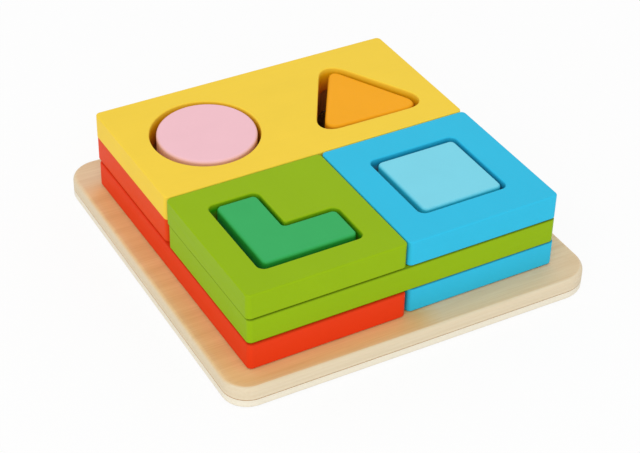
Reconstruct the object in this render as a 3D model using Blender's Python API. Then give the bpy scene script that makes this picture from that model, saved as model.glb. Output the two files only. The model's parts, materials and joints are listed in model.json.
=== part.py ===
"""Wooden sorting toy: a square base, four shaped posts and seven plates that drop over them.

Metres, +Z up. The origin is the middle of the base's underside, +X runs along the front edge and
+Y to the back. Three layers of plates rest on the base, and each plate has a hole for every post
that it covers.
"""

import math
from typing import NamedTuple

import bmesh
import bpy
from mathutils import Matrix, Vector

MM = 0.001

# Plates
PLATE_SIDE = 71.1 * MM
PLATE_THICKNESS = 11.7 * MM
PLATE_CORNER_RADIUS = 2.2 * MM
PLATE_EDGE_RADIUS = 0.7 * MM
HOLE_EDGE_RADIUS = 0.6 * MM
PLATE_GAP = 0.5 * MM  # between neighbours in one layer
SEAT_GAP = 0.3 * MM  # between faces that rest on each other
LAYERS = 3

# Base
BASE_WIDTH = 168.8 * MM
BASE_DEPTH = 171.4 * MM
BASE_FRONT_LEFT_RADIUS = 10.8 * MM  # its corners are sanded round by eye
BASE_FRONT_RIGHT_RADIUS = 14.4 * MM
BASE_BACK_RIGHT_RADIUS = 13.0 * MM
BASE_BACK_LEFT_RADIUS = 12.0 * MM
TOP_BOARD_THICKNESS = 5.6 * MM
BACKING_THICKNESS = 3.6 * MM
GLUE_LINE = 0.3 * MM
BASE_TOP_EDGE_RADIUS = 1.6 * MM
BASE_BOTTOM_EDGE_RADIUS = 0.8 * MM

# Where the posts stand on the base: not quite in its middle, and a little turned
STACK_SHIFT_X = -2.1 * MM
STACK_SHIFT_Y = -2.2 * MM
STACK_TURN = math.radians(0.7)

# Posts
ROUND_DIAMETER = 44.2 * MM
ROUND_CLEARANCE = 2.1 * MM
TRIANGLE_SIDE = 50.0 * MM
TRIANGLE_CLEARANCE = 2.8 * MM
TRIANGLE_CORNER_RADIUS = 5.0 * MM
TRIANGLE_HOLE_RADIUS = 7.0 * MM
TRIANGLE_FORWARD = 6.1 * MM  # its middle stands this far in front of its quarter's middle
TRIANGLE_TURN = math.radians(-1.9)
TRIANGLE_HOLE_TURN = math.radians(-0.7)
TRIANGLE_DROP = 1.4 * MM  # its top is this much lower than the stack
CORNER_POST_SIZE = 41.9 * MM
CORNER_POST_LEG = 18.2 * MM
CORNER_POST_CLEARANCE = 2.4 * MM
CORNER_POST_BACK = 0.6 * MM  # it stands this far behind its quarter's middle
SQUARE_SIDE = 37.8 * MM
SQUARE_CLEARANCE = 2.2 * MM
SQUARE_DROP = 0.4 * MM
POST_CORNER_RADIUS = 2.4 * MM
POST_INNER_RADIUS = 1.6 * MM  # in the notch of the corner post
HOLE_CORNER_RADIUS = 2.8 * MM
HOLE_INNER_RADIUS = 1.2 * MM  # on the tongue of plate that fills that notch
POST_EDGE_RADIUS = 1.3 * MM

# Dowels that hold the posts on the base
DOWEL_DIAMETER = 8.0 * MM
DOWEL_LENGTH = 22.0 * MM
DOWEL_CHAMFER = 0.8 * MM
DOWEL_SPACING = 18.0 * MM
TRIANGLE_DOWEL_FORWARD = 5.0 * MM  # from the triangle's middle to where it is wide
DOWEL_FIT = 0.1 * MM  # all round
DOWEL_END_GAP = 0.6 * MM  # left for glue at the blind end

# Facets
CORNER_STEPS = 5
ROUND_STEPS = 11  # in each quarter of a full circle
DOWEL_STEPS = 4
EDGE_STEPS = 2
SHARP_ANGLE = math.radians(50.0)

# Paint and bare wood, as linear red, green and blue
YELLOW = (0.905, 0.631, 0.067)
PINK = (0.887, 0.533, 0.591)
ORANGE = (0.930, 0.397, 0.024)
LEAF_GREEN = (0.287, 0.462, 0.019)
DEEP_GREEN = (0.051, 0.423, 0.127)
BLUE = (0.045, 0.515, 0.760)
PALE_BLUE = (0.209, 0.665, 0.807)
RED = (0.783, 0.048, 0.011)
BARE_PLY = (0.760, 0.610, 0.416)
BARE_BEECH = (0.620, 0.430, 0.250)
PAINT_ROUGHNESS = 0.38
WOOD_ROUGHNESS = 0.62

# Places that follow from those sizes
CELL_PITCH = PLATE_SIDE + PLATE_GAP
TOP_BOARD_BOTTOM = BACKING_THICKNESS + GLUE_LINE
BASE_TOP = TOP_BOARD_BOTTOM + TOP_BOARD_THICKNESS
LAYER_PITCH = PLATE_THICKNESS + SEAT_GAP
STACK_TOP = BASE_TOP + LAYERS * LAYER_PITCH
TRIANGLE_ANGLES = (math.radians(210.0), math.radians(330.0), math.radians(90.0))
BRACKET_NOTCH = 3  # which of the L's corners points in
COINCIDENT = 1e-7  # nearer points than this are one point


class Shape(NamedTuple):
    """An anticlockwise polygon with a rounding for each of its corners."""

    corners: tuple
    radii: tuple
    steps: int = CORNER_STEPS


class Rim(NamedTuple):
    """One boundary of a flat solid, with the rounding of its lower and upper edge."""

    shape: Shape
    low_edge: float
    high_edge: float
    is_hole: bool = False


class Post(NamedTuple):
    """A post, the hole that goes over it, and the dowels under it."""

    shape: Shape
    hole: Shape
    column: int
    row: int
    drop: float
    dowels: tuple
    colour: tuple


class Plate(NamedTuple):
    """A loose plate over one or two posts, with its slack in its holes at rest."""

    name: str
    layer: int
    posts: tuple
    colour: tuple
    slack: tuple


def moved_out(corners, distance):
    """Corners of a polygon whose sides are all moved outwards by a distance."""
    moved = []
    for before, corner, after in neighbours(corners):
        normal_in = side_normal(before, corner)
        normal_out = side_normal(corner, after)
        mitre = (normal_in + normal_out) / (1.0 + normal_in.dot(normal_out))
        moved.append(Vector(corner) + mitre * distance)
    return tuple(moved)


def neighbours(corners):
    """Each corner of a polygon between the one before it and the one after it."""
    count = len(corners)
    for index in range(count):
        yield corners[index - 1], corners[index], corners[(index + 1) % count]


def side_normal(start, end):
    """The outward unit normal of one side of an anticlockwise polygon."""
    side = (Vector(end) - Vector(start)).normalized()
    return Vector((side.y, -side.x))


def outline(shape, grow):
    """Points of a shape moved outwards by grow, with an arc at each corner."""
    points = []
    sides = neighbours(moved_out(shape.corners, grow))
    for (before, corner, after), own_radius in zip(sides, shape.radii):
        normal_in = side_normal(before, corner)
        normal_out = side_normal(corner, after)
        turn = math.atan2(normal_in.cross(normal_out), normal_in.dot(normal_out))
        outward = turn > 0.0
        radius = own_radius + grow if outward else own_radius - grow
        reach = radius if outward else -radius
        centre = corner - (normal_in + normal_out) / (1.0 + normal_in.dot(normal_out)) * reach
        start = math.atan2(normal_in.y, normal_in.x)
        for step in range(shape.steps + 1):
            angle = start + turn * step / shape.steps
            point = centre + Vector((math.cos(angle), math.sin(angle))) * reach
            if not points or (point - points[-1]).length > COINCIDENT:
                points.append(point)
    if (points[0] - points[-1]).length <= COINCIDENT:
        points.pop()
    return points


def edge_levels(height, low_edge, high_edge):
    """Height and inset of each ring, from the lower face to the upper one."""
    levels = []
    for step in range(EDGE_STEPS + 1):
        angle = math.pi / 2.0 * step / EDGE_STEPS
        rise = 1.0 - math.cos(angle)
        inset = 1.0 - math.sin(angle)
        levels.append((low_edge * rise, low_edge * inset))
        levels.append((height - high_edge * rise, high_edge * inset))
    return sorted(set(levels))


def make_solid(name, rims, height, place, colour, roughness, turn=0.0):
    """A flat solid between its rims, turned and standing on its place, with rounded edges."""
    mesh_data = bmesh.new()
    lower_edges = []
    upper_edges = []
    for rim in rims:
        rings = []
        for level, inset in edge_levels(height, rim.low_edge, rim.high_edge):
            grow = inset if rim.is_hole else -inset
            ring = [mesh_data.verts.new((x, y, level)) for x, y in outline(rim.shape, grow)]
            rings.append(ring)
        for lower, upper in zip(rings, rings[1:]):
            for index in range(len(lower)):
                after = (index + 1) % len(lower)
                mesh_data.faces.new((lower[index], lower[after], upper[after], upper[index]))
        lower_edges += ring_edges(rings[0])
        upper_edges += ring_edges(rings[-1])
    for edges in (lower_edges, upper_edges):
        bmesh.ops.triangle_fill(mesh_data, edges=edges, use_beauty=True, normal=(0.0, 0.0, 1.0))
    bmesh.ops.recalc_face_normals(mesh_data, faces=mesh_data.faces)
    mesh = bpy.data.meshes.new(name)
    mesh_data.to_mesh(mesh)
    mesh_data.free()
    mesh.shade_smooth()
    mesh.set_sharp_from_angle(angle=SHARP_ANGLE)
    solid = bpy.data.objects.new(name, mesh)
    solid.location = place
    solid.rotation_euler.z = turn
    bpy.context.scene.collection.objects.link(solid)
    mesh.materials.append(make_finish(f"{name}_finish", colour, roughness))
    return solid


def ring_edges(ring):
    """The edges that join a closed ring of vertices."""
    return [edge_between(start, end) for start, end in zip(ring, ring[1:] + ring[:1])]


def edge_between(start, end):
    """The edge that joins two vertices."""
    return next(edge for edge in start.link_edges if edge.other_vert(start) is end)


def make_finish(name, colour, roughness):
    """A material of one colour and roughness."""
    material = bpy.data.materials.new(name)
    material.use_nodes = True
    shader = material.node_tree.nodes["Principled BSDF"]
    shader.inputs["Base Color"].default_value = (*colour, 1.0)
    shader.inputs["Roughness"].default_value = roughness
    shader.inputs["Metallic"].default_value = 0.0
    material.diffuse_color = (*colour, 1.0)
    return material


def rectangle(width, depth):
    """Corners of a rectangle round the origin."""
    x = width / 2.0
    y = depth / 2.0
    return ((-x, -y), (x, -y), (x, y), (-x, y))


def triangle(side, forward, turn):
    """Corners of an equilateral triangle that points to the back, turned about its middle."""
    reach = side / math.sqrt(3.0)
    middle = Vector((0.0, -forward))
    angles = [angle + turn for angle in TRIANGLE_ANGLES]
    return tuple(middle + Vector((math.cos(angle), math.sin(angle))) * reach for angle in angles)


def bracket(size, leg):
    """Corners of an L whose legs run to the right and to the back."""
    low = -size / 2.0
    high = size / 2.0
    notch = low + leg
    return ((low, low), (high, low), (high, notch), (notch, notch), (notch, high), (low, high))


def rounded(corners, radius, steps=CORNER_STEPS):
    """A polygon whose corners all have one radius."""
    return Shape(corners, (radius,) * len(corners), steps)


def rounded_bracket(corners, radius, notch_radius):
    """An L with one radius in its notch and another at its other corners."""
    radii = [radius] * len(corners)
    radii[BRACKET_NOTCH] = notch_radius
    return Shape(corners, tuple(radii))


def circle(diameter, steps):
    """A full circle: a square whose corner arcs meet."""
    return rounded(rectangle(diameter, diameter), diameter / 2.0, steps)


def shifted(shape, x, y):
    """A shape moved in its own plane."""
    return shape._replace(corners=tuple(Vector(corner) + Vector((x, y)) for corner in shape.corners))


def make_posts():
    """The four posts by name, each with its matching hole."""
    pair = ((-DOWEL_SPACING / 2.0, 0.0), (DOWEL_SPACING / 2.0, 0.0))
    triangle_pair = tuple((x, -TRIANGLE_FORWARD - TRIANGLE_DOWEL_FORWARD) for x, _ in pair)
    leg_end = (CORNER_POST_SIZE - CORNER_POST_LEG) / 2.0
    corner_pair = ((-leg_end, leg_end + CORNER_POST_BACK), (leg_end, CORNER_POST_BACK - leg_end))
    triangle_corners = triangle(TRIANGLE_SIDE, TRIANGLE_FORWARD, TRIANGLE_TURN)
    triangle_hole = triangle(TRIANGLE_SIDE, TRIANGLE_FORWARD, TRIANGLE_HOLE_TURN)
    corner_corners = bracket(CORNER_POST_SIZE, CORNER_POST_LEG)
    corner_shape = rounded_bracket(corner_corners, POST_CORNER_RADIUS, POST_INNER_RADIUS)
    corner_hole = moved_out(corner_corners, CORNER_POST_CLEARANCE)
    square_corners = rectangle(SQUARE_SIDE, SQUARE_SIDE)
    return {
        "round_post": Post(
            circle(ROUND_DIAMETER, ROUND_STEPS),
            circle(ROUND_DIAMETER + 2.0 * ROUND_CLEARANCE, ROUND_STEPS),
            -1, 1, 0.0, pair, PINK),
        "triangle_post": Post(
            rounded(triangle_corners, TRIANGLE_CORNER_RADIUS),
            rounded(moved_out(triangle_hole, TRIANGLE_CLEARANCE), TRIANGLE_HOLE_RADIUS),
            1, 1, TRIANGLE_DROP, triangle_pair, ORANGE),
        "corner_post": Post(
            shifted(corner_shape, 0.0, CORNER_POST_BACK),
            rounded_bracket(corner_hole, HOLE_CORNER_RADIUS, HOLE_INNER_RADIUS),
            -1, -1, 0.0, corner_pair, DEEP_GREEN),
        "square_post": Post(
            rounded(square_corners, POST_CORNER_RADIUS),
            rounded(moved_out(square_corners, SQUARE_CLEARANCE), HOLE_CORNER_RADIUS),
            1, -1, SQUARE_DROP, pair, PALE_BLUE),
    }


# Loose plates from the bottom layer up, with their slack to the right and to the back
PLATES = (
    Plate("bottom_blue_plate", 0, ("triangle_post", "square_post"), BLUE, (0.5 * MM, 0.1 * MM)),
    Plate("bottom_red_plate", 0, ("round_post", "corner_post"), RED, (-0.6 * MM, -1.2 * MM)),
    Plate("middle_red_plate", 1, ("round_post", "triangle_post"), RED, (-0.1 * MM, 1.0 * MM)),
    Plate("middle_green_plate", 1, ("corner_post", "square_post"), LEAF_GREEN, (-0.3 * MM, -0.2 * MM)),
    Plate("yellow_double_plate", 2, ("round_post", "triangle_post"), YELLOW, (-0.7 * MM, -0.1 * MM)),
    Plate("top_green_plate", 2, ("corner_post",), LEAF_GREEN, (-0.7 * MM, -0.1 * MM)),
    Plate("top_blue_plate", 2, ("square_post",), BLUE, (-0.5 * MM, -0.1 * MM)),
)


def cell_middle(post):
    """The middle of the quarter of the stack that a post stands in, from the stack's middle."""
    return Vector((post.column, post.row)) * (CELL_PITCH / 2.0)


def on_base(point):
    """A point of the stack's plan, turned and moved to where the stack stands on the base."""
    return Matrix.Rotation(STACK_TURN, 2) @ point + Vector((STACK_SHIFT_X, STACK_SHIFT_Y))


def build_base():
    """The thick top board and the thin backing board glued under it."""
    radii = (BASE_FRONT_LEFT_RADIUS, BASE_FRONT_RIGHT_RADIUS, BASE_BACK_RIGHT_RADIUS, BASE_BACK_LEFT_RADIUS)
    outer = Shape(rectangle(BASE_WIDTH, BASE_DEPTH), radii)
    make_solid("base_backing_board", [Rim(outer, BASE_BOTTOM_EDGE_RADIUS, 0.0)], BACKING_THICKNESS,
               (0.0, 0.0, 0.0), BARE_PLY, WOOD_ROUGHNESS)
    return make_solid("base_top_board", [Rim(outer, 0.0, BASE_TOP_EDGE_RADIUS)], TOP_BOARD_THICKNESS,
                      (0.0, 0.0, TOP_BOARD_BOTTOM), BARE_PLY, WOOD_ROUGHNESS)


def build_post(name, post):
    """A post, glued down on the top board."""
    middle = on_base(cell_middle(post))
    foot = BASE_TOP + SEAT_GAP
    return make_solid(name, [Rim(post.shape, 0.0, POST_EDGE_RADIUS)], STACK_TOP - post.drop - foot,
                      (middle.x, middle.y, foot), post.colour, PAINT_ROUGHNESS, STACK_TURN)


def build_dowel(name, middle, top_board, post_solid):
    """A dowel through the top board into a post, and the hole that it is glued in."""
    chamfer = Rim(circle(DOWEL_DIAMETER, DOWEL_STEPS), DOWEL_CHAMFER, DOWEL_CHAMFER)
    make_solid(name, [chamfer], DOWEL_LENGTH, (*middle, TOP_BOARD_BOTTOM), BARE_BEECH, WOOD_ROUGHNESS)
    drill = Rim(circle(DOWEL_DIAMETER + 2.0 * DOWEL_FIT, DOWEL_STEPS), 0.0, 0.0)
    start = TOP_BOARD_BOTTOM - GLUE_LINE / 2.0
    depth = TOP_BOARD_BOTTOM + DOWEL_LENGTH + DOWEL_END_GAP - start
    cutter = make_solid(f"{name}_drill", [drill], depth, (*middle, start), BARE_BEECH, WOOD_ROUGHNESS)
    cutter.hide_render = True
    cutter.display_type = "WIRE"
    for solid in (top_board, post_solid):
        cut = solid.modifiers.new(f"hole_for_{name}", "BOOLEAN")
        cut.operation = "DIFFERENCE"
        cut.solver = "EXACT"
        cut.object = cutter


def build_plate(plate, posts):
    """A loose plate with a hole for each post under it."""
    middles = [cell_middle(posts[name]) for name in plate.posts]
    middle = sum(middles, Vector((0.0, 0.0))) / len(middles)
    span = middles[-1] - middles[0]
    outer = rounded(rectangle(PLATE_SIDE + abs(span.x), PLATE_SIDE + abs(span.y)), PLATE_CORNER_RADIUS)
    rims = [Rim(outer, PLATE_EDGE_RADIUS, PLATE_EDGE_RADIUS)]
    for name, cell in zip(plate.posts, middles):
        hole = shifted(posts[name].hole, *(cell - middle))
        rims.append(Rim(hole, HOLE_EDGE_RADIUS, HOLE_EDGE_RADIUS, True))
    rest = on_base(middle + Vector(plate.slack))
    make_solid(plate.name, rims, PLATE_THICKNESS,
               (rest.x, rest.y, BASE_TOP + SEAT_GAP + plate.layer * LAYER_PITCH),
               plate.colour, PAINT_ROUGHNESS, STACK_TURN)


def main():
    """Build every piece in the order in which the toy is put together."""
    for old in list(bpy.data.objects):
        bpy.data.objects.remove(old)
    posts = make_posts()
    top_board = build_base()
    for name, post in posts.items():
        post_solid = build_post(name, post)
        for number, (x, y) in enumerate(post.dowels, start=1):
            middle = on_base(cell_middle(post) + Vector((x, y)))
            build_dowel(f"{name}_dowel_{number}", middle, top_board, post_solid)
    for plate in PLATES:
        build_plate(plate, posts)


main()
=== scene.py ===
"""Looks of a wooden sorting toy: seven painted plates over four posts on a bare plywood base.

Metres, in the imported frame: +X runs along the front edge, +Y to the back and +Z up. Heights, boards and
the plates' places at rest are read from the frame's nodes. The fields of the classes hold the rest:
outlines, rounding, clearances, finishes, light and camera.
"""

import json
import logging
import math
from collections.abc import Callable
from dataclasses import dataclass, replace
from enum import Enum

import bmesh
import bpy
from mathutils import Matrix, Vector

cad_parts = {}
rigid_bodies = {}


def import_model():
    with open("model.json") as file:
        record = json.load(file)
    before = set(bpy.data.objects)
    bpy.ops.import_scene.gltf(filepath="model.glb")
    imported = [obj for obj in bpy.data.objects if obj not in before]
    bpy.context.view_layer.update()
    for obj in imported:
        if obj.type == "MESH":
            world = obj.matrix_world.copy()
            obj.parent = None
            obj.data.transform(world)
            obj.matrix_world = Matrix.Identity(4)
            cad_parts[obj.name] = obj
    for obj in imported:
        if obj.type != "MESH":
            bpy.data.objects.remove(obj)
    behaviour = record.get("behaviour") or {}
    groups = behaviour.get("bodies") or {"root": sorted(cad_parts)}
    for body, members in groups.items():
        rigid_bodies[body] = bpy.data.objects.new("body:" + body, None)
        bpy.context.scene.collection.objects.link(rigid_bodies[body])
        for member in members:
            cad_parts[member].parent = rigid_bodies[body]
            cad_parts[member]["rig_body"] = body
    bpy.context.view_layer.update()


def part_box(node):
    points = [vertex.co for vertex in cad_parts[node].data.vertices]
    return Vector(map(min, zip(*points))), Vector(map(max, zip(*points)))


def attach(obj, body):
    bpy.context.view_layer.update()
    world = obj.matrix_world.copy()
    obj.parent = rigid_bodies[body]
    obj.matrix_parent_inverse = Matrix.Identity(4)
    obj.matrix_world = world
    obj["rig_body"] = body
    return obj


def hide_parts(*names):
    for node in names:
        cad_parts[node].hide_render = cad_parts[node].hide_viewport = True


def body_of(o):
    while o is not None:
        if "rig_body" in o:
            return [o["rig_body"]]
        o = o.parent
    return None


LOG = logging.getLogger("sorting_toy")

MM = 0.001
NEAR = 0.01 * MM  # points this close are at one height
SHARP_ANGLE = math.radians(60.0)  # edges sharper than this still need rounding
SMOOTH_ANGLE = math.radians(35.0)  # faces that meet at less than this shade as one
ROUND_PROFILE = 0.5  # a bevel whose section is an arc
LOWEST_CORNER = 0  # places in an object's bound_box
HIGHEST_CORNER = 6
SHADE_TINT = "tint"  # point attribute of painted shade: what the paint is multiplied by, so that gaps and seams are darker

Pair = tuple[float, float]
Triple = tuple[float, float, float]
Colour = Triple
Piece = bpy.types.Object
Edge = bmesh.types.BMEdge
Socket = bpy.types.NodeSocket
PointTint = Callable[[Vector], Colour]
EdgeTest = Callable[[Edge], bool]

CLEAR: Colour = (1.0, 1.0, 1.0)  # no tint
NOISE_SPREAD: Pair = (0.3, 0.7)  # nearly all values of a noise lie in it
NONE_TO_ALL: Pair = (0.0, 1.0)
ALL_TO_NONE: Pair = (1.0, 0.0)


def take(piece: Piece) -> None:
    """Make one piece the only selected object and the active one.

    Args:
        piece: The object that the next operators work on.
    """
    bpy.ops.object.select_all(action="DESELECT")
    piece.select_set(True)
    bpy.context.view_layer.objects.active = piece


def settle(name: str) -> Piece:
    """Name the primitive just added and move its place into its mesh.

    Args:
        name: The new object's name.

    Returns:
        The object, at the origin, unturned and unscaled.
    """
    piece = bpy.context.active_object
    piece.name = name
    piece.data.name = name
    bpy.ops.object.transform_apply(location=True, rotation=True, scale=True)
    return piece


def add_block(name: str, low: Vector, high: Vector) -> Piece:
    """Add a block between two corners.

    Args:
        name: The new object's name.
        low: Its lowest corner.
        high: Its highest corner.

    Returns:
        The block.
    """
    bpy.ops.object.select_all(action="DESELECT")
    bpy.ops.mesh.primitive_cube_add(size=1.0, location=(low + high) / 2.0, scale=high - low)
    return settle(name)


def add_prism(name: str, sides: int, radius: float, middle: Vector, height: float) -> Piece:
    """Add an upright prism with one corner towards the back.

    Args:
        name: The new object's name.
        sides: How many sides it has; many make it round.
        radius: From its axis to its corners.
        middle: Its middle.
        height: How tall it is.

    Returns:
        The prism.
    """
    bpy.ops.object.select_all(action="DESELECT")
    bpy.ops.mesh.primitive_cylinder_add(vertices=sides, radius=radius, depth=height, location=middle)
    return settle(name)


def is_upright(edge: Edge) -> bool:
    """Tell whether an edge runs straight up."""
    start, end = (vertex.co for vertex in edge.verts)
    return (end - start).xy.length < NEAR


def is_outward_corner(edge: Edge) -> bool:
    """Tell whether an edge is an upright corner that points out."""
    return is_upright(edge) and edge.is_convex and edge.calc_face_angle(0.0) > SHARP_ANGLE


def is_inward_corner(edge: Edge) -> bool:
    """Tell whether an edge is an upright corner that points in."""
    return is_upright(edge) and not edge.is_convex and edge.calc_face_angle(0.0) > SHARP_ANGLE


def sharp_at(*heights: float) -> EdgeTest:
    """Make a test for the sharp edges that run round a piece at some heights.

    Args:
        heights: Where the edges lie.

    Returns:
        The test.
    """

    def lies_there(edge: Edge) -> bool:
        """Tell whether an edge is level, at one of the heights and sharp."""
        level = any(all(abs(end.co.z - height) < NEAR for end in edge.verts) for height in heights)
        return level and edge.calc_face_angle(0.0) > SHARP_ANGLE

    return lies_there


def select_edges(piece: Piece, chosen: EdgeTest) -> None:
    """Open a piece in edit mode, with some of its edges selected.

    Args:
        piece: The piece.
        chosen: Tells which edges are selected.
    """
    take(piece)
    bpy.ops.object.mode_set(mode="EDIT")
    bpy.ops.mesh.select_mode(type="EDGE")
    bpy.ops.mesh.select_all(action="DESELECT")
    mesh = bmesh.from_edit_mesh(piece.data)
    for edge in mesh.edges:
        if chosen(edge):
            edge.select_set(True)
    bmesh.update_edit_mesh(piece.data)


def round_edges(piece: Piece, chosen: EdgeTest, radius: float, segments: int) -> None:
    """Bevel some edges of a piece to an arc.

    Args:
        piece: The piece.
        chosen: Tells which edges are rounded.
        radius: How far the rounding reaches from the edge, along the faces.
        segments: How many faces make the arc.
    """
    select_edges(piece, chosen)
    bpy.ops.mesh.bevel(offset=radius, segments=segments, profile=ROUND_PROFILE, affect="EDGES",
                       clamp_overlap=False)
    bpy.ops.object.mode_set(mode="OBJECT")


def opaque(colour: Colour) -> tuple[float, float, float, float]:
    """A colour with full alpha."""
    return (*colour, 1.0)


def mark_painted_shade(piece: Piece, tint: PointTint) -> None:
    """Set the painted-shade tint attribute of a piece, point by point.

    Args:
        piece: The piece.
        tint: Tells the tint of a point.
    """
    layer = piece.data.attributes.new(SHADE_TINT, "FLOAT_COLOR", "POINT")
    for vertex, value in zip(piece.data.vertices, layer.data):
        value.color = opaque(tint(vertex.co))


def towards(tint: Colour, depth: float) -> Colour:
    """Fade from no tint, at a depth of 0 or less, to the full one at 1 or more."""
    held = min(max(depth, 0.0), 1.0)
    return tuple(1.0 - held * (1.0 - channel) for channel in tint)


def add_ring(piece: Piece, height: float) -> None:
    """Cut a ring of edges into the walls of a piece.

    Args:
        piece: The piece.
        height: How high the ring lies.
    """
    take(piece)
    bpy.ops.object.mode_set(mode="EDIT")
    bpy.ops.mesh.select_all(action="SELECT")
    bpy.ops.mesh.bisect(plane_co=(0.0, 0.0, height), plane_no=(0.0, 0.0, 1.0))
    bpy.ops.object.mode_set(mode="OBJECT")


def apply_modifier(piece: Piece, kind: str, **settings: object) -> None:
    """Add a modifier to a piece, set it and apply it.

    Args:
        piece: The piece.
        kind: The modifier's type.
        settings: Its properties by name.
    """
    take(piece)
    bpy.ops.object.modifier_add(type=kind)
    modifier = piece.modifiers[-1]
    for name, value in settings.items():
        setattr(modifier, name, value)
    bpy.ops.object.modifier_apply(modifier=modifier.name)


def cut(piece: Piece, cutter: Piece) -> None:
    """Cut the shape of one object out of a piece and remove that object."""
    apply_modifier(piece, "BOOLEAN", operation="DIFFERENCE", solver="EXACT", object=cutter)
    bpy.data.meshes.remove(cutter.data)


def finish_surface(piece: Piece) -> None:
    """Shade the rounded rims smooth and keep the flats flat.

    Args:
        piece: The piece.
    """
    take(piece)
    bpy.ops.object.shade_smooth_by_angle(angle=SMOOTH_ANGLE)
    apply_modifier(piece, "WEIGHTED_NORMAL", keep_sharp=True)


def box_middle(node: str) -> Vector:
    """The middle of a node's box at rest."""
    low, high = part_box(node)
    return (low + high) / 2.0


def copy_piece(pattern: Piece, start: str, name: str, goal: str) -> Piece:
    """Copy a shape from one node's place to another's.

    Args:
        pattern: The piece that was modelled.
        start: The node that it stands for.
        name: The copy's name.
        goal: The node that the copy stands for.

    Returns:
        The copy, with a mesh of its own.
    """
    piece = bpy.data.objects.new(name, pattern.data.copy())
    piece.data.transform(Matrix.Translation(box_middle(goal) - box_middle(start)))
    bpy.context.scene.collection.objects.link(piece)
    return piece


class Grain(Enum):
    """The way that the grain runs in a piece, as the turn that brings X onto it."""

    ALONG_X = (0.0, 0.0, 0.0)
    ALONG_Y = (0.0, 0.0, math.pi / 2.0)
    UPRIGHT = (0.0, math.pi / 2.0, 0.0)


@dataclass(frozen=True)
class Pattern:
    """A cloudy noise that is stretched along the grain."""

    per_metre: Triple  # how often it repeats along the grain and the two ways across it
    detail: float  # how many finer layers it has
    warp: float = 0.0  # how far it is distorted


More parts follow.
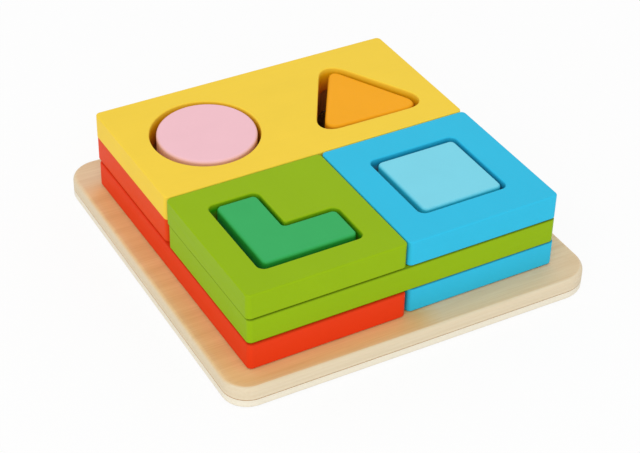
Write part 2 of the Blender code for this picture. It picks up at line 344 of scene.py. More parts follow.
class Recipe:
    """A procedural material in the making."""

    COLOUR_FACTOR = 0  # sockets of a Mix node that mixes colours
    COLOUR_FIRST = 6
    COLOUR_SECOND = 7
    COLOUR_RESULT = 2

    def __init__(self, name: str) -> None:
        """Start a material.

        Args:
            name: The material's name.
        """
        self.material = bpy.data.materials.new(name)
        self.material.use_nodes = True
        self.tree = self.material.node_tree
        self.shader = self.tree.nodes["Principled BSDF"]

    def feed(self, socket: Socket, value: object) -> None:
        """Link a socket to another one, or set its own value.

        Args:
            socket: The socket that takes the value.
            value: An output socket, a number or a tuple.
        """
        if isinstance(value, Socket):
            self.tree.links.new(value, socket)
        else:
            socket.default_value = value

    def add(self, kind: str, inputs: dict, **settings: object) -> bpy.types.Node:
        """Add a node.

        Args:
            kind: Its type.
            inputs: What goes into its sockets, by name or index.
            settings: Its properties by name.

        Returns:
            The node.
        """
        node = self.tree.nodes.new(kind)
        for name, value in settings.items():
            setattr(node, name, value)
        for socket, value in inputs.items():
            self.feed(node.inputs[socket], value)
        return node

    def noise(self, grain: Grain, pattern: Pattern) -> Socket:
        """Cloudy noise at coordinates that are turned along the grain and then stretched.

        Args:
            grain: The way that the grain runs.
            pattern: The noise's scale and detail.

        Returns:
            Values round one half.
        """
        point = self.add("ShaderNodeTexCoord", {}).outputs["Object"]
        turned = self.add("ShaderNodeMapping", {"Vector": point, "Rotation": grain.value},
                          vector_type="TEXTURE").outputs[0]
        place = self.add("ShaderNodeMapping", {"Vector": turned, "Scale": pattern.per_metre}).outputs[0]
        inputs = {"Vector": place, "Scale": 1.0, "Detail": pattern.detail, "Distortion": pattern.warp}
        return self.add("ShaderNodeTexNoise", inputs).outputs[0]

    def remap(self, value: Socket, source: Pair, target: Pair = NONE_TO_ALL) -> Socket:
        """Move a value from one range to another and keep it inside.

        Args:
            value: The value.
            source: The range that it comes from.
            target: The range that it goes to.

        Returns:
            The new value.
        """
        inputs = {"Value": value, "From Min": source[0], "From Max": source[1],
                  "To Min": target[0], "To Max": target[1]}
        return self.add("ShaderNodeMapRange", inputs).outputs[0]

    def math(self, operation: str, first: object, second: object) -> Socket:
        """What a Math node makes of two values."""
        return self.add("ShaderNodeMath", {0: first, 1: second}, operation=operation).outputs[0]

    def blend(self, first: Socket, second: Socket, share: float) -> Socket:
        """The mean of two values, where the first has the given share of the weight."""
        return self.math("ADD", self.math("MULTIPLY", first, share),
                         self.math("MULTIPLY", second, 1.0 - share))

    def mix(self, factor: object, first: object, second: object, blend: str = "MIX") -> Socket:
        """A colour between two colours.

        Args:
            factor: 0 for the first colour, 1 for the second.
            first: The first colour.
            second: The second colour.
            blend: How the second colour goes over the first.

        Returns:
            The mixed colour.
        """
        inputs = {self.COLOUR_FACTOR: factor, self.COLOUR_FIRST: first, self.COLOUR_SECOND: second}
        node = self.add("ShaderNodeMix", inputs, data_type="RGBA", blend_type=blend)
        return node.outputs[self.COLOUR_RESULT]

    def outside(self, middle: Triple, half: Triple) -> Socket:
        """How far points lie outside a block.

        Args:
            middle: The block's middle.
            half: Half its size each way.

        Returns:
            The distance, 0 inside it.
        """
        place = self.add("ShaderNodeTexCoord", {}).outputs["Object"]
        none = (0.0, 0.0, 0.0)
        steps = (("SUBTRACT", middle), ("ABSOLUTE", none), ("SUBTRACT", half), ("MAXIMUM", none))
        for operation, other in steps:
            place = self.add("ShaderNodeVectorMath", {0: place, 1: other}, operation=operation).outputs[0]
        return self.add("ShaderNodeVectorMath", {0: place}, operation="LENGTH").outputs["Value"]

    def surface(self, colour: Socket, fibres: Socket, roughness: Pair, specular: float) -> None:
        """Set the surface's colour and gloss.

        Args:
            colour: The colour.
            fibres: The noise that the roughness follows.
            roughness: The lowest and the highest roughness.
            specular: The specular level, the same all over.
        """
        self.feed(self.shader.inputs["Base Color"], colour)
        self.feed(self.shader.inputs["Roughness"], self.remap(fibres, NOISE_SPREAD, roughness))
        self.shader.inputs["Specular IOR Level"].default_value = specular

    def bump(self, height: Socket, depth: float) -> None:
        """Press a height pattern from 0 to 1 into the surface, to a depth in metres."""
        inputs = {"Height": height, "Strength": 1.0, "Distance": depth}
        self.feed(self.shader.inputs["Normal"], self.add("ShaderNodeBump", inputs).outputs[0])


@dataclass(frozen=True)
class SatinPaint:
    """Satin paint over sanded wood: faint grain under it, with painted shade in the gaps and seams."""

    slot: str
    colour: Colour
    specular: float = 0.06
    roughness: Pair = (0.36, 0.47)
    mottling: Pair = (0.98, 1.015)  # darkest and lightest, as shares of the colour
    mottle_share: float = 0.65  # weight in the mottling, where the fibres have the rest
    fibre_share: float = 0.6  # weight in the relief, where the peel has the rest
    gap: Colour = (0.80, 0.80, 0.80)  # painted shade under the rims of posts and in the upper part of holes
    seam: Colour = (0.42, 0.42, 0.42)  # painted shade along the rims where two plates meet
    facing: Colour = CLEAR  # painted shade on the sides that face another plate
    deep: Colour = (0.36, 0.18, 0.05)  # colour deep in the holes: a bare-wood brown darkened by painted shade
    mottle: Pattern = Pattern((45.0, 75.0, 75.0), 3.0)
    fibres: Pattern = Pattern((60.0, 1100.0, 1100.0), 4.0)
    peel: Pattern = Pattern((900.0, 900.0, 900.0), 2.0)
    depth: float = 0.012 * MM

    def deep_tint(self) -> Colour:
        """The tint that turns the paint into its painted-shade colour deep in the holes."""
        return tuple(deep / plain for deep, plain in zip(self.deep, self.colour))

    def material(self, name: str, grain: Grain) -> bpy.types.Material:
        """Make the finish for one piece.

        Args:
            name: The material's name.
            grain: The way that the piece's grain runs.

        Returns:
            The material.
        """
        recipe = Recipe(name)
        fibres = recipe.noise(grain, self.fibres)
        tone = recipe.blend(recipe.noise(grain, self.mottle), fibres, self.mottle_share)
        value = recipe.remap(tone, NOISE_SPREAD, self.mottling)
        toned = recipe.add("ShaderNodeHueSaturation", {"Value": value, "Color": opaque(self.colour)})
        # painted shade: the tint attribute darkens the paint in gaps, seams and holes
        tint = recipe.add("ShaderNodeAttribute", {}, attribute_name=SHADE_TINT).outputs["Color"]
        tinted = recipe.mix(1.0, toned.outputs[0], tint, "MULTIPLY")
        recipe.surface(tinted, fibres, self.roughness, self.specular)
        recipe.bump(recipe.blend(fibres, recipe.noise(grain, self.peel), self.fibre_share), self.depth)
        return recipe.material


@dataclass(frozen=True)
class BarePlywood:
    """Sanded, unpainted plywood: straight veneer grain on the faces, pale plies along the edges.

    Round the place of the red plate the face carries painted reflected red light and painted shade.
    """

    slot: str = "bare_plywood"
    pale: Colour = (0.805, 0.625, 0.410)
    tan: Colour = (0.695, 0.497, 0.295)
    fleck: Colour = (0.520, 0.350, 0.200)
    edge_pale: Colour = (0.765, 0.655, 0.475)
    edge_tan: Colour = (0.695, 0.570, 0.390)
    edge_limits: Pair = (0.5, 0.9)  # how far up a face looks where the edge's colour ends
    ply: float = 1.28 * MM
    ply_change: Pair = (-0.4, 0.4)  # part of the wave through the plies where their tone changes
    ply_tones: Pair = (0.25, 0.5)  # shares of the edge's tan
    ply_grain: Pair = (-0.25, 0.25)  # what the fibres add to them
    painted_red_bounce: Colour = (1.0, 0.84, 0.57)  # painted red reflection and shade: what the face near the red plate is multiplied by
    painted_red_bounce_middle: Triple = (-38.5 * MM, -10.0 * MM, 0.0)
    painted_red_bounce_half: Triple = (35.6 * MM, 65.0 * MM, 1.0)
    painted_red_bounce_reach: Pair = (6.0 * MM, 16.0 * MM)
    specular: float = 0.2
    roughness: Pair = (0.55, 0.72)
    figure: Pattern = Pattern((9.0, 120.0, 120.0), 3.0, 0.6)
    fibres: Pattern = Pattern((45.0, 1500.0, 1500.0), 5.0)
    flecks: Pattern = Pattern((260.0, 3200.0, 3200.0), 2.0)
    figure_share: float = 0.6  # weight in the tone, where the fibres have the rest
    tone_spread: Pair = (0.35, 0.68)  # the noise from all pale to all tan
    fleck_spread: Pair = (0.66, 0.78)  # the noise from no fleck to a full one
    fleck_shares: Pair = (0.0, 0.35)
    depth: float = 0.03 * MM

    def material(self, name: str, grain: Grain) -> bpy.types.Material:
        """Make the finish for one board.

        Args:
            name: The material's name.
            grain: The way that the face veneer runs.

        Returns:
            The material.
        """
        recipe = Recipe(name)
        fibres = recipe.noise(grain, self.fibres)
        tone = recipe.blend(recipe.noise(grain, self.figure), fibres, self.figure_share)
        face = recipe.mix(recipe.remap(tone, self.tone_spread), opaque(self.pale), opaque(self.tan))
        dark = recipe.remap(recipe.noise(grain, self.flecks), self.fleck_spread, self.fleck_shares)
        face = recipe.mix(dark, face, opaque(self.fleck))
        # painted reflected red light and painted shade on the face near the red plate
        away = recipe.outside(self.painted_red_bounce_middle, self.painted_red_bounce_half)
        near = recipe.remap(away, self.painted_red_bounce_reach, ALL_TO_NONE)
        face = recipe.mix(near, face, opaque(self.painted_red_bounce), "MULTIPLY")
        edge = self.plies(recipe, fibres)
        normal = recipe.add("ShaderNodeNewGeometry", {}).outputs["True Normal"]
        parts = recipe.add("ShaderNodeSeparateXYZ", {0: normal}).outputs
        front = recipe.math("MINIMUM", parts[1], 0.0)  # faces towards the front take the pale edge colour farther up
        facing = recipe.remap(recipe.math("ADD", recipe.math("ABSOLUTE", parts[2], 0.0), front),
                              self.edge_limits)
        recipe.surface(recipe.mix(facing, edge, face), fibres, self.roughness, self.specular)
        recipe.bump(recipe.math("SUBTRACT", fibres, dark), self.depth)
        return recipe.material

    def plies(self, recipe: Recipe, fibres: Socket) -> Socket:
        """Colour the edge in plies that lie along and across the grain by turns.

        Args:
            recipe: The material in the making.
            fibres: The fine grain.

        Returns:
            The edge's colour.
        """
        point = recipe.add("ShaderNodeTexCoord", {}).outputs["Object"]
        height = recipe.add("ShaderNodeSeparateXYZ", {0: point}).outputs[2]
        wave = recipe.math("SINE", recipe.math("MULTIPLY", height, math.pi / self.ply), 0.0)
        band = recipe.remap(wave, self.ply_change, self.ply_tones)
        grained = recipe.math("ADD", band, recipe.remap(fibres, NOISE_SPREAD, self.ply_grain))
        return recipe.mix(grained, opaque(self.edge_pale), opaque(self.edge_tan))


@dataclass(frozen=True)
class BareBeech:
    """Turned beech for the dowels: straight upright grain with short dark rays."""

    slot: str = "bare_beech"
    pale: Colour = (0.660, 0.470, 0.290)
    dark: Colour = (0.540, 0.350, 0.190)
    ray: Colour = (0.360, 0.200, 0.100)
    specular: float = 0.25
    roughness: Pair = (0.5, 0.68)
    fibres: Pattern = Pattern((80.0, 1600.0, 1600.0), 4.0)
    rays: Pattern = Pattern((500.0, 3000.0, 3000.0), 2.0)
    ray_spread: Pair = (0.64, 0.74)  # the noise from no ray to a full one
    ray_shares: Pair = (0.0, 0.6)
    depth: float = 0.02 * MM

    def material(self, name: str, grain: Grain) -> bpy.types.Material:
        """Make the finish for one dowel.

        Args:
            name: The material's name.
            grain: The way that the grain runs.

        Returns:
            The material.
        """
        recipe = Recipe(name)
        fibres = recipe.noise(grain, self.fibres)
        tone = recipe.remap(fibres, NOISE_SPREAD)
        wood = recipe.mix(tone, opaque(self.pale), opaque(self.dark))
        mark = recipe.remap(recipe.noise(grain, self.rays), self.ray_spread, self.ray_shares)
        recipe.surface(recipe.mix(mark, wood, opaque(self.ray)), fibres, self.roughness, self.specular)
        recipe.bump(fibres, self.depth)
        return recipe.material


Finish = SatinPaint | BarePlywood | BareBeech


def dress(piece: Piece, node: str, finish: Finish, grain: Grain) -> None:
    """Give a piece its finish and let it stand for its node.

    Args:
        piece: The finished mesh.
        node: The node that it stands for, whose body it rides on.
        finish: Its paint or wood.
        grain: The way that its grain runs.
    """
    finish_surface(piece)
    piece.data.materials.clear()
    piece.data.materials.append(finish.material(f"{piece.name}_finish", grain))
    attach(piece, body_of(bpy.data.objects[node])[0])
    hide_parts(node)
    LOG.info("%s stands for %s: %d faces", piece.name, node, len(piece.data.polygons))


class PostShape(Enum):
    """The outline of a post, seen from above."""

    ROUND = "round"
    TRIANGLE = "triangle"
    BRACKET = "bracket"
    SQUARE = "square"


class Quarter(Enum):
    """A quarter of the stack, as its column and its row."""

    FRONT_LEFT = (-1, -1)
    FRONT_RIGHT = (1, -1)
    BACK_LEFT = (-1, 1)
    BACK_RIGHT = (1, 1)


def corner_in(quarter: Quarter) -> EdgeTest:
    """Make a test for the sharp upright corner of a board that lies in one quarter of it.

    Args:
        quarter: The quarter.

    Returns:
        The test.
    """
    column, row = quarter.value

    def lies_there(edge: Edge) -> bool:
        """Tell whether an edge is that corner."""
        place = edge.verts[0].co
        return is_outward_corner(edge) and place.x * column > 0.0 and place.y * row > 0.0

    return lies_there


@dataclass(frozen=True)
class Layout:
    """How the stack stands on the base: in four quarters, a little off the middle and turned."""

    pitch: float = 71.6 * MM
    shift: Pair = (-2.1 * MM, -2.2 * MM)
    turn: float = math.radians(0.7)

    def middle(self, quarter: Quarter) -> Vector:
        """The middle of a quarter, from the stack's own middle."""
        return Vector(quarter.value) * (self.pitch / 2.0)

    def to_base(self) -> Matrix:
        """The move from the stack's own plan to its place on the base."""
        return Matrix.Translation((*self.shift, 0.0)) @ Matrix.Rotation(self.turn, 4, "Z")

    def seat(self, piece: Piece) -> None:
        """Move a piece's mesh from the stack's own plan to its place on the base."""
        piece.data.transform(self.to_base())

    def plan(self, place: Vector) -> Vector:
        """How far right of the stack's middle and how far behind it a place on the base lies."""
        return (self.to_base().inverted() @ place).xy


@dataclass
class Post:
    """A painted post, glued to the base on two dowels, and the hole that drops over it."""

    node: str
    shape: PostShape
    quarter: Quarter
    paint: SatinPaint
    size: float  # diameter, or length of a side
    clearance: float  # from the post to its hole, all round
    corner_radius: float = 2.4 * MM
    hole_corner_radius: float = 3.3 * MM
    inner_radius: float = 1.6 * MM  # in the notch of the bracket
    hole_inner_radius: float = 1.2 * MM
    leg: float = 18.2 * MM  # width of the bracket's legs
    aside: float = 0.0  # how far right of the quarter's middle the post stands
    back: float = 0.0  # how far behind it
    hole_aside: float = 0.0  # how far right the hole is cut
    hole_back: float = 0.0
    out_of_round: float = 0.0  # how far a disc and its hole reach out at their long ends
    long_way: float = math.radians(60.0)  # which way these point
    blunter: Triple = (0.0, 0.0, 0.0)  # more rounding for a triangle's left, right and back corner
    hole_blunter: Triple = (0.0, 0.0, 0.0)
    turn: float = 0.0
    hole_turn: float = 0.0
    edge_radius: float = 1.3 * MM
    gap_depth: float = 3.0 * MM  # how far down the painted shade of the gap stays full
    fade_depth: float = 7.0 * MM  # how far down it ends
    dowel_fit: float = 0.1 * MM
    dowel_end_gap: float = 0.6 * MM
    hole_reach: float = 5.0 * MM  # how far a hole's cutter goes past the post
    corner_segments: int = 8
    edge_segments: int = 5
    round_sides: int = 128
    drill_sides: int = 48

    @property
    def top(self) -> float:
        """How high the post reaches."""
        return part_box(self.node)[1].z

    @property
    def dowels(self) -> tuple[str, ...]:
        """The nodes of the post's two dowels."""
        return tuple(f"{self.node}_dowel_{number}" for number in (1, 2))

    def build(self, layout: Layout) -> None:
        """Model and dress the post.

        Args:
            layout: Where the stack stands.
        """
        post = self.outline(f"{self.node}_painted", 0.0, self.corner_radius, self.inner_radius, self.blunter)
        self.move(post, layout, Vector((self.aside, self.back)), self.turn)
        round_edges(post, sharp_at(self.top), self.edge_radius, self.edge_segments)
        for depth in (self.gap_depth, self.fade_depth):
            add_ring(post, self.top - depth)
        layout.seat(post)
        for dowel in self.dowels:
            cut(post, self.drill(dowel))
        # painted shade under the post's rim, where it stands in the gap of its hole
        mark_painted_shade(post, self.tint)
        dress(post, self.node, self.paint, Grain.UPRIGHT)

    def tint(self, point: Vector) -> Colour:
        """Tell the painted-shade tint of a point, which grows down the post's rounded rim and fades below
        the gap.

        Args:
            point: The point.

        Returns:
            Its tint.
        """
        depth = self.top - point.z
        left = (self.fade_depth - depth) / (self.fade_depth - self.gap_depth)
        return towards(self.paint.gap, min(depth / self.edge_radius, left))

    def hole(self, layout: Layout, slack: Vector) -> Piece:
        """Model the cutter for the hole that goes over the post.

        Args:
            layout: Where the stack stands.
            slack: How far the plate lies off the post's quarter.

        Returns:
            The cutter, which goes right through the stack.
        """
        cutter = self.outline(f"{self.node}_hole", self.clearance, self.hole_corner_radius,
                              self.hole_inner_radius, self.hole_blunter, self.hole_reach)
        self.move(cutter, layout, slack + Vector((self.hole_aside, self.hole_back)), self.hole_turn)
        return cutter

    def move(self, solid: Piece, layout: Layout, off: Vector, turn: float) -> None:
        """Turn an outline about its own middle and move it off the middle of the post's quarter."""
        place = layout.middle(self.quarter) + off
        solid.data.transform(Matrix.Translation((place.x, place.y, 0.0)) @ Matrix.Rotation(turn, 4, "Z"))

    def outline(self, name: str, grow: float, radius: float, inner: float,
                blunter: Triple, reach: float = 0.0) -> Piece:
        """Model the post's outline round the origin, as an upright solid with rounded corners.

        Args:
            name: The new object's name.
            grow: How far the sides move out from the post's own.
            radius: The rounding of its outward corners.
            inner: The rounding of its inward corner.
            blunter: What a triangle's left, right and back corner get on top of their rounding.
            reach: How far it goes past the post's foot and top.

        Returns:
            The solid.
        """
        low, high = (corner.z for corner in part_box(self.node))
        half = self.size / 2.0 + grow
        foot = low - reach
        top = high + reach
        middle = Vector((0.0, 0.0, (foot + top) / 2.0))
        if self.shape is PostShape.ROUND:
            solid = add_prism(name, self.round_sides, half, middle, top - foot)
            solid.data.transform(self.stretch(half))
            return solid
        if self.shape is PostShape.TRIANGLE:
            inradius = self.size / (2.0 * math.sqrt(3.0)) + grow
            solid = add_prism(name, 3, 2.0 * inradius, middle, top - foot)
            corners = (corner_in(Quarter.FRONT_LEFT), corner_in(Quarter.FRONT_RIGHT), is_outward_corner)
            along_sides = math.sqrt(3.0)  # how far an arc of radius 1 reaches in a corner of 60 degrees
            for corner, more in zip(corners, blunter):
                round_edges(solid, corner, (radius + more) * along_sides, self.corner_segments)
            return solid
        solid = add_block(name, Vector((-half, -half, foot)), Vector((half, half, top)))
        if self.shape is PostShape.BRACKET:
            self.notch(solid, grow)
        round_edges(solid, is_outward_corner, radius, self.corner_segments)
        if self.shape is PostShape.BRACKET:
            round_edges(solid, is_inward_corner, inner, self.corner_segments)
        return solid

    def stretch(self, half: float) -> Matrix:
        """Make the stretch that puts a disc out of round.

        Args:
            half: The disc's radius.

        Returns:
            The stretch.
        """
        share = self.out_of_round / half
        along = Vector((math.cos(self.long_way), math.sin(self.long_way), 0.0))
        across = Vector((-along.y, along.x, 0.0))
        return Matrix.Scale(1.0 + share, 4, along) @ Matrix.Scale(1.0 - share, 4, across)

    def notch(self, solid: Piece, grow: float) -> None:
        """Cut a block down to an L whose legs run to the right and to the back.

        Args:
            solid: The block.
            grow: How far its sides are moved out from the post's own.
        """
        low, high = (Vector(solid.bound_box[corner]) for corner in (LOWEST_CORNER, HIGHEST_CORNER))
        inside = self.leg + grow - self.size / 2.0
        past = high.z - low.z
        cutter = add_block(f"{solid.name}_notch", Vector((inside, inside, low.z - past)),
                           high + Vector((past, past, past)))
        cut(solid, cutter)

    def drill(self, dowel: str) -> Piece:
        """Model the cutter for one dowel's hole.

        Args:
            dowel: The dowel's node.

        Returns:
            The cutter, a little wider and longer than the dowel.
        """
        low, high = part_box(dowel)
        radius = (high.x - low.x) / 2.0 + self.dowel_fit
        height = high.z - low.z + 2.0 * self.dowel_end_gap
        return add_prism("dowel_drill", self.drill_sides, radius, (low + high) / 2.0, height)


@dataclass
class Plate:
    """A loose painted plate with a hole for each post under it."""

    node: str
    posts: tuple[Post, ...]
    paint: SatinPaint
    grain: Grain
    covered: bool = True  # whether another plate lies on it
    side: float = 71.1 * MM
    corner_radius: float = 2.2 * MM
    edge_radius: float = 0.7 * MM
    hole_edge_radius: float = 0.6 * MM
    hole_shift: Pair = (0.0, 0.0)  # how far right and back its holes are cut
    hole_margin: float = 5.0 * MM  # a hole is farther than this from the plate's sides
    gap_depth: float = 3.0 * MM  # how far down a hole gets its deep painted shade and the facing sides' painted shade begins
    facing_reach: float = 2.3 * MM  # how far from the stack's middle lines the facing sides end
    corner_segments: int = 10
    edge_segments: int = 5
    hole_segments: int = 4

    def model(self, layout: Layout) -> Piece:
        """Model the plate at its place.

        Args:
            layout: Where the stack stands.

        Returns:
            The bare plate.
        """
        quarters = [layout.middle(post.quarter) for post in self.posts]
        half = self.half_size(layout)
        middle = layout.plan(box_middle(self.node))
        low, high = (corner.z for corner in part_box(self.node))
        plate = add_block(f"{self.node}_painted", (middle - half).to_3d() + Vector((0.0, 0.0, low)),
                          (middle + half).to_3d() + Vector((0.0, 0.0, high)))
        round_edges(plate, is_outward_corner, self.corner_radius, self.corner_segments)
        round_edges(plate, sharp_at(low, high), self.edge_radius, self.edge_segments)
        slack = middle - sum(quarters, Vector((0.0, 0.0))) / len(quarters)
        for post in self.posts:
            cut(plate, post.hole(layout, slack + Vector(self.hole_shift)))
        round_edges(plate, sharp_at(low, high), self.hole_edge_radius, self.hole_segments)
        add_ring(plate, high - self.gap_depth)
        layout.seat(plate)
        return plate

    def half_size(self, layout: Layout) -> Vector:
        """Half the plate's width and half its depth."""
        span = layout.middle(self.posts[-1].quarter) - layout.middle(self.posts[0].quarter)
        return Vector((self.side + abs(span.x), self.side + abs(span.y))) / 2.0

    def tint(self, layout: Layout) -> PointTint:
        """Find the painted-shade tint of the plate's points, in its holes and along the rims that meet other
        plates.

        Args:
            layout: Where the stack stands.

        Returns:
            What tells a point's tint.
        """
        low, high = (corner.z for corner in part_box(self.node))
        middle = layout.plan(box_middle(self.node))
        inner = self.half_size(layout) - Vector((self.hole_margin, self.hole_margin))

        def tint_of(point: Vector) -> Colour:
            """Tell the tint of one point.

            Args:
                point: The point.

            Returns:
                Its tint.
            """
            if not low + NEAR < point.z < high - NEAR:
                return CLEAR  # the flat faces
            plan = layout.plan(point)
            place = plan - middle
            if abs(place.x) < inner.x and abs(place.y) < inner.y:
                return self.hole_tint(high - point.z)
            off = min(map(abs, plan))
            if high - point.z > self.gap_depth - NEAR and off < self.facing_reach:
                return towards(self.paint.facing, 1.0 - off / self.facing_reach)
            down = (low + self.edge_radius - point.z) / self.edge_radius
            up = (point.z - high + self.edge_radius) / self.edge_radius
            return towards(self.paint.seam, max(down, up) if self.covered else down)

        return tint_of

    def hole_tint(self, depth: float) -> Colour:
        """Tell the painted-shade tint on the side of a hole.

        Args:
            depth: How far down the hole.

        Returns:
            The tint, which turns to the deep one below the gap and all the way down a covered plate.
        """
        if self.covered or depth > self.gap_depth + NEAR:
            return self.paint.deep_tint()
        return towards(self.paint.gap, depth / self.gap_depth)


@dataclass
class Stack:
    """The loose plates, from the bottom layer up."""

    plates: tuple[Plate, ...]

    def build(self, layout: Layout) -> None:
        """Model each design of plate once, copy it where it repeats, and dress them all.

        Args:
            layout: Where the stack stands.
        """
        designs: dict[tuple[str, ...], tuple[Piece, str]] = {}
        pieces = []
        for plate in self.plates:
            holes = tuple(post.node for post in plate.posts)
            if holes in designs:
                pieces.append(copy_piece(*designs[holes], f"{plate.node}_painted", plate.node))
            else:
                pieces.append(plate.model(layout))
                designs[holes] = (pieces[-1], plate.node)
        for plate, piece in zip(self.plates, pieces):
            # painted shade in the holes, seams and facing sides of each plate
            mark_painted_shade(piece, plate.tint(layout))
            dress(piece, plate.node, plate.paint, plate.grain)


@dataclass
class Base:
    """The bare base: a thick board with a thin backing board glued under it."""

    posts: tuple[Post, ...]
    wood: BarePlywood
    backing_wood: BarePlywood
    top_node: str = "base_top_board"
    backing_node: str = "base_backing_board"
    corner_radii: tuple[tuple[Quarter, float], ...] = (
        (Quarter.FRONT_LEFT, 10.8 * MM), (Quarter.FRONT_RIGHT, 14.4 * MM),
        (Quarter.BACK_RIGHT, 13.0 * MM), (Quarter.BACK_LEFT, 13.0 * MM))
    top_edge_radius: float = 2.1 * MM
    glue_edge_radius: float = 0.06 * MM
    bottom_edge_radius: float = 0.8 * MM
    corner_segments: int = 16
    edge_segments: int = 6
    glue_segments: int = 2

    def board(self, node: str) -> Piece:
        """Model a board with round corners.

        Args:
            node: The node that it stands for.

        Returns:
            The board, with its long edges still sharp.
        """
        board = add_block(f"{node}_sanded", *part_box(node))
        for quarter, radius in self.corner_radii:
            round_edges(board, corner_in(quarter), radius, self.corner_segments)
        return board

    def build(self) -> None:
        """Model and dress both boards."""
        low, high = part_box(self.top_node)
        top = self.board(self.top_node)
        round_edges(top, sharp_at(high.z), self.top_edge_radius, self.edge_segments)
        round_edges(top, sharp_at(low.z), self.glue_edge_radius, self.glue_segments)
        for post in self.posts:
            for dowel in post.dowels:
                cut(top, post.drill(dowel))
        dress(top, self.top_node, self.wood, Grain.ALONG_X)
        low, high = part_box(self.backing_node)
        backing = self.board(self.backing_node)
        round_edges(backing, sharp_at(high.z), self.glue_edge_radius, self.glue_segments)
        round_edges(backing, sharp_at(low.z), self.bottom_edge_radius, self.edge_segments)
        dress(backing, self.backing_node, self.backing_wood, Grain.ALONG_Y)


@dataclass
class Dowels:
    """The fluted beech dowels that hold the posts, modelled once and copied."""

    nodes: tuple[str, ...]
    wood: BareBeech
    flutes: int = 20
    flute_depth: float = 0.3 * MM
    chamfer: float = 0.8 * MM

    def build(self) -> None:
        """Model the first dowel, copy it and dress them all."""
        start = self.nodes[0]
        first = self.pin(start)
        copies = [copy_piece(first, start, f"{node}_fluted", node) for node in self.nodes[1:]]
        for node, pin in zip(self.nodes, [first, *copies]):
            dress(pin, node, self.wood, Grain.UPRIGHT)

    def pin(self, node: str) -> Piece:
        """Model one dowel with straight flutes and chamfered ends.

        Args:
            node: The node that it stands for.

        Returns:
            The dowel.
        """
        low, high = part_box(node)
        middle = box_middle(node)
        radius = (high.x - low.x) / 2.0
        pin = add_prism(f"{node}_fluted", 2 * self.flutes, radius, middle, high.z - low.z)
        select_edges(pin, self.flute_at(middle))
        share = 1.0 - self.flute_depth / radius
        bpy.ops.transform.resize(value=(share, share, 1.0), center_override=middle)
        bpy.ops.object.mode_set(mode="OBJECT")
        round_edges(pin, sharp_at(low.z, high.z), self.chamfer, 1)
        return pin

    def flute_at(self, middle: Vector) -> EdgeTest:
        """Make a test for the upright edges of a dowel that become the floors of its flutes.

        Args:
            middle: The dowel's middle.

        Returns:
            The test, which every other upright edge passes.
        """
        step = math.pi / self.flutes

        def lies_there(edge: Edge) -> bool:
            """Tell whether an edge is upright and has an odd place round the dowel."""
            point = edge.verts[0].co - middle
            return is_upright(edge) and round(math.atan2(point.x, point.y) / step) % 2 == 1

        return lies_there


@dataclass(frozen=True)
class Lamp:
    """A soft square lamp that points at the toy."""

    name: str
    place: Triple
    size: float  # length of its sides
    power: float

    def build(self, aim: Vector) -> None:
        """Hang the lamp.

        Args:
            aim: The point that it shines at.
        """
        place = Vector(self.place)
        bpy.ops.object.select_all(action="DESELECT")
        bpy.ops.object.light_add(type="AREA", location=place)
        lamp = bpy.context.active_object
        lamp.name = self.name
        lamp.rotation_euler = (aim - place).to_track_quat("-Z", "Y").to_euler()
        lamp.data.size = self.size
        lamp.data.energy = self.power


@dataclass
class Studio:
    """The pale floor, the even white surround and the soft lamps."""

    lamps: tuple[Lamp, ...]
    floor_side: float = 8.0
    floor_gap: float = 0.3 * MM
    floor_colour: Colour = (0.90, 0.90, 0.90)
    floor_white: float = 0.88  # share of plain white in what is seen of the floor
    surround_colour: Colour = (1.0, 1.0, 1.0)
    fill: float = 0.85  # strength of the surround as a light

    def build(self, aim: Vector) -> None:
        """Lay the floor, light the surround and hang the lamps.

        Args:
            aim: The point that the lamps shine at.
        """
        self.lay_floor()
        self.light_surround()
        for lamp in self.lamps:
            lamp.build(aim)

    def seen(self, tree: bpy.types.NodeTree) -> Socket:
        """Tell the rays that show the background from those that only light.

        Args:
            tree: The node tree that needs it.

        Returns:
            1 for camera, glossy and transmission rays, else 0.
        """
        path = tree.nodes.new("ShaderNodeLightPath")
        shown = path.outputs["Is Camera Ray"]
        for name in ("Is Glossy Ray", "Is Transmission Ray"):
            larger = tree.nodes.new("ShaderNodeMath")
            larger.operation = "MAXIMUM"
            tree.links.new(shown, larger.inputs[0])
            tree.links.new(path.outputs[name], larger.inputs[1])
            shown = larger.outputs[0]
        return shown

    def lay_floor(self) -> None:
        """Lay the floor, which keeps a faint shadow under its white."""
        bpy.ops.object.select_all(action="DESELECT")
        bpy.ops.mesh.primitive_plane_add(size=self.floor_side, location=(0.0, 0.0, -self.floor_gap))
        floor = settle("studio_floor")
        recipe = Recipe("studio_floor_paper")
        paper = recipe.shader
        paper.inputs["Base Color"].default_value = opaque(self.floor_colour)
        paper.inputs["Roughness"].default_value = 1.0
        paper.inputs["Specular IOR Level"].default_value = 0.0
        white = recipe.add("ShaderNodeEmission", {})
        share = recipe.math("MULTIPLY", self.seen(recipe.tree), self.floor_white)
        mixed = recipe.add("ShaderNodeMixShader", {0: share, 1: paper.outputs[0], 2: white.outputs[0]})
        recipe.feed(recipe.tree.nodes["Material Output"].inputs["Surface"], mixed.outputs[0])
        floor.data.materials.append(recipe.material)

    def light_surround(self) -> None:
        """Make the world white where it is seen and a little softer where it only lights."""
        world = bpy.data.worlds.new("studio_surround")
        bpy.context.scene.world = world
        world.use_nodes = True
        tree = world.node_tree
        surround = tree.nodes["Background"]
        surround.inputs["Color"].default_value = opaque(self.surround_colour)
        strength = tree.nodes.new("ShaderNodeMapRange")
        strength.inputs["To Min"].default_value = self.fill
        strength.inputs["To Max"].default_value = 1.0
        tree.links.new(self.seen(tree), strength.inputs["Value"])
        tree.links.new(strength.outputs[0], surround.inputs["Strength"])


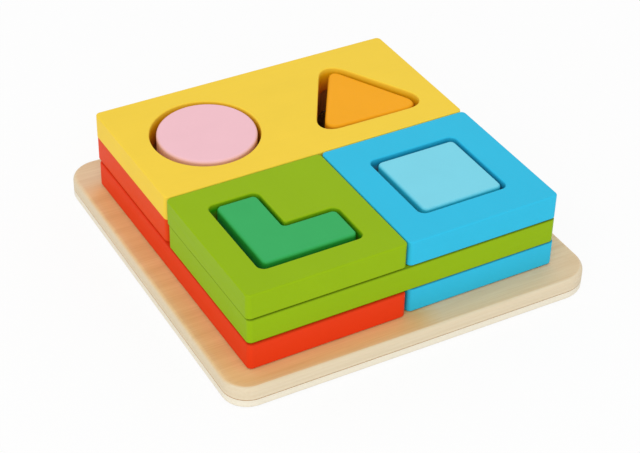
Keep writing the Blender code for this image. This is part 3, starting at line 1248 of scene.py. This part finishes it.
@dataclass
class Viewpoint:
    """The camera, at the photograph's angle."""

    azimuth: float = -29.60  # degrees round the toy from its front
    elevation: float = 36.49
    roll: float = 1.61
    distance: float = 0.7454
    lens: float = 97.53  # in millimetres, as the sensor's width is
    sensor: float = 36.0
    aim: Triple = (-0.00359, -0.00557, 0.0095)

    def build(self) -> None:
        """Set up the camera."""
        azimuth, elevation, roll = map(math.radians, (self.azimuth, self.elevation, self.roll))
        back = Vector((math.sin(azimuth) * math.cos(elevation), -math.cos(azimuth) * math.cos(elevation),
                       math.sin(elevation)))
        level = Vector((math.cos(azimuth), math.sin(azimuth), 0.0))
        steep = back.cross(level)
        right = math.cos(roll) * level + math.sin(roll) * steep
        up = -math.sin(roll) * level + math.cos(roll) * steep
        bpy.ops.object.select_all(action="DESELECT")
        bpy.ops.object.camera_add(location=Vector(self.aim) + back * self.distance)
        camera = bpy.context.active_object
        camera.name = "studio_camera"
        camera.rotation_euler = Matrix((right, up, back)).transposed().to_euler()
        camera.data.lens = self.lens
        camera.data.sensor_width = self.sensor
        bpy.context.scene.camera = camera


# The gap, seam, facing and deep colours of these paints are painted shade; some gap colours of the posts
# also carry painted reflected colour.
YELLOW = SatinPaint("yellow_paint", (0.905, 0.631, 0.056), gap=(0.96, 0.75, 0.08),
                    deep=(0.78, 0.22, 0.01))
PINK = SatinPaint("pink_paint", (0.887, 0.533, 0.591), gap=(0.92, 0.90, 0.60))
ORANGE = SatinPaint("orange_paint", (0.930, 0.397, 0.012), gap=(0.78, 0.80, 0.42))
LEAF_GREEN = SatinPaint("leaf_green_paint", (0.283, 0.460, 0.005), gap=(0.10, 0.80, 1.0),
                        facing=(0.05, 0.15, 0.40))
DEEP_GREEN = SatinPaint("deep_green_paint", (0.042, 0.416, 0.119), gap=(0.52, 0.77, 0.32))
BLUE = SatinPaint("blue_paint", (0.032, 0.508, 0.760), gap=(0.25, 0.62, 0.66))
PALE_BLUE = SatinPaint("pale_blue_paint", (0.205, 0.665, 0.807), gap=(0.15, 0.84, 0.88))
RED = SatinPaint("red_paint", (0.790, 0.045, 0.008), seam=(0.90, 0.90, 0.90), deep=(0.62, 0.22, 0.05))
WARM_RED = replace(RED, colour=(0.790, 0.058, 0.007))

GREY_PLYWOOD = BarePlywood(edge_pale=(0.855, 0.800, 0.665), edge_tan=(0.795, 0.715, 0.570))

LAMPS = (Lamp("front_softbox", (-0.8, -1.1, 0.95), size=1.2, power=8.0),)


def main() -> None:
    """Build and dress the toy from the base up, then set up the studio."""
    logging.basicConfig(level=logging.INFO, format="%(message)s")
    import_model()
    bpy.context.scene.view_settings.view_transform = "Standard"

    layout = Layout()
    disc = Post("round_post", PostShape.ROUND, Quarter.BACK_LEFT, PINK, 44.3 * MM, 2.2 * MM,
                aside=0.2 * MM, back=0.1 * MM, out_of_round=0.54 * MM)
    wedge = Post("triangle_post", PostShape.TRIANGLE, Quarter.BACK_RIGHT, ORANGE, 50.0 * MM, 2.8 * MM,
                 corner_radius=5.0 * MM, hole_corner_radius=7.0 * MM, turn=math.radians(-1.9),
                 hole_turn=math.radians(-0.7), aside=0.15 * MM, back=-6.2 * MM, hole_aside=-0.2 * MM,
                 hole_back=-5.8 * MM, blunter=(0.0, 0.6 * MM, -1.4 * MM),
                 hole_blunter=(0.0, 1.1 * MM, 0.7 * MM))
    bracket = Post("corner_post", PostShape.BRACKET, Quarter.FRONT_LEFT, DEEP_GREEN, 41.9 * MM, 2.4 * MM,
                   back=0.6 * MM, hole_aside=-0.22 * MM)
    square = Post("square_post", PostShape.SQUARE, Quarter.FRONT_RIGHT, PALE_BLUE, 37.8 * MM, 2.2 * MM,
                  hole_aside=-0.3 * MM)
    posts = (disc, wedge, bracket, square)

    Base(posts, BarePlywood(), GREY_PLYWOOD).build()
    Dowels(tuple(dowel for post in posts for dowel in post.dowels), BareBeech()).build()
    for post in posts:
        post.build(layout)
    Stack((
        Plate("bottom_blue_plate", (wedge, square), BLUE, Grain.ALONG_Y,
              hole_shift=(-0.6 * MM, 0.9 * MM)),
        Plate("bottom_red_plate", (disc, bracket), RED, Grain.ALONG_Y),
        Plate("middle_red_plate", (disc, wedge), WARM_RED, Grain.ALONG_X),
        Plate("middle_green_plate", (bracket, square), LEAF_GREEN, Grain.ALONG_X),
        Plate("yellow_double_plate", (disc, wedge), YELLOW, Grain.ALONG_X, covered=False),
        Plate("top_green_plate", (bracket,), LEAF_GREEN, Grain.ALONG_Y, covered=False, side=71.35 * MM),
        Plate("top_blue_plate", (square,), BLUE, Grain.ALONG_Y, covered=False, side=71.35 * MM),
    )).build(layout)

    viewpoint = Viewpoint()
    Studio(LAMPS).build(Vector(viewpoint.aim))
    viewpoint.build()


if __name__ == "__main__":
    main()
